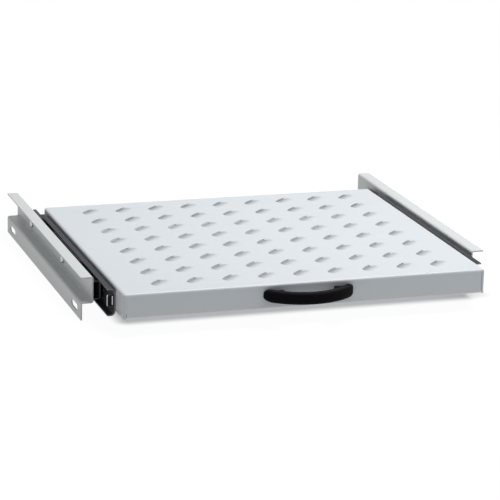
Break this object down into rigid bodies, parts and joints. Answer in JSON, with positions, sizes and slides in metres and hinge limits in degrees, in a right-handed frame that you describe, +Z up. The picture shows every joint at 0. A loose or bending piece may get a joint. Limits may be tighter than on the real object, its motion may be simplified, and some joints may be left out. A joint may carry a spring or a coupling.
{
  "type": "sliding rack shelf",
  "caption": "Vented sheet-metal shelf that pulls out on ball-bearing telescopic slides between slotted side brackets for a rack, with a bow handle on its front wall.",
  "frame": {"origin": "middle of the shelf's box on the plane of the brackets' lower edges, with the tray drawn out 68 mm as stored", "axes": "+X to the right seen from the front, +Y to the back of the rack, +Z up; the handle is at the front, towards -Y"},
  "size_m": [0.45, 0.448, 0.0465],
  "materials": {
    "tray_paint": "light grey powder coat, fine texture",
    "bracket_paint": "light grey powder coat, fine texture",
    "slide_black": "black electro-coated steel, satin",
    "cage_steel": "bright pressed strip",
    "ball_steel": "polished bearing steel",
    "screw_zinc": "bright zinc plate",
    "handle_plastic": "black moulded plastic, fine grain"
  },
  "bodies": {
    "brackets": {"left_bracket": "bracket_paint", "right_bracket": "bracket_paint", "left_rail": "slide_black", "right_rail": "slide_black", "left_rail_screws": "screw_zinc", "right_rail_screws": "screw_zinc", "left_rail_nuts": "screw_zinc", "right_rail_nuts": "screw_zinc"},
    "tray": {"tray": "tray_paint", "handle": "handle_plastic", "handle_screws": "screw_zinc", "left_channel": "slide_black", "right_channel": "slide_black", "left_channel_screws": "screw_zinc", "right_channel_screws": "screw_zinc"},
    "left_middle": {"left_middle_member": "slide_black"},
    "right_middle": {"right_middle_member": "slide_black"},
    "left_outer_cage": {"left_outer_cage": "cage_steel", "left_outer_balls": "ball_steel"},
    "right_outer_cage": {"right_outer_cage": "cage_steel", "right_outer_balls": "ball_steel"},
    "left_inner_cage": {"left_inner_cage": "cage_steel", "left_inner_balls": "ball_steel"},
    "right_inner_cage": {"right_inner_cage": "cage_steel", "right_inner_balls": "ball_steel"}
  },
  "joints": [
    {"name": "tray_slide", "type": "slide", "parent": "brackets", "child": "tray", "axis": [0, -1, 0], "range_m": [-0.068, 0.232]},
    {"name": "left_middle_slide", "type": "slide", "parent": "brackets", "child": "left_middle", "axis": [0, -1, 0], "range_m": [-0.034, 0.116]},
    {"name": "right_middle_slide", "type": "slide", "parent": "brackets", "child": "right_middle", "axis": [0, -1, 0], "range_m": [-0.034, 0.116]},
    {"name": "left_outer_cage_slide", "type": "slide", "parent": "brackets", "child": "left_outer_cage", "axis": [0, -1, 0], "range_m": [-0.051, 0.174]},
    {"name": "right_outer_cage_slide", "type": "slide", "parent": "brackets", "child": "right_outer_cage", "axis": [0, -1, 0], "range_m": [-0.051, 0.174]},
    {"name": "left_inner_cage_slide", "type": "slide", "parent": "brackets", "child": "left_inner_cage", "axis": [0, -1, 0], "range_m": [-0.017, 0.058]},
    {"name": "right_inner_cage_slide", "type": "slide", "parent": "brackets", "child": "right_inner_cage", "axis": [0, -1, 0], "range_m": [-0.017, 0.058]}
  ],
  "couplings": [
    {"joint": "left_middle_slide", "follows": "tray_slide", "ratio": 0.5},
    {"joint": "right_middle_slide", "follows": "tray_slide", "ratio": 0.5},
    {"joint": "left_outer_cage_slide", "follows": "tray_slide", "ratio": 0.75},
    {"joint": "right_outer_cage_slide", "follows": "tray_slide", "ratio": 0.75},
    {"joint": "left_inner_cage_slide", "follows": "tray_slide", "ratio": 0.25},
    {"joint": "right_inner_cage_slide", "follows": "tray_slide", "ratio": 0.25}
  ]
}
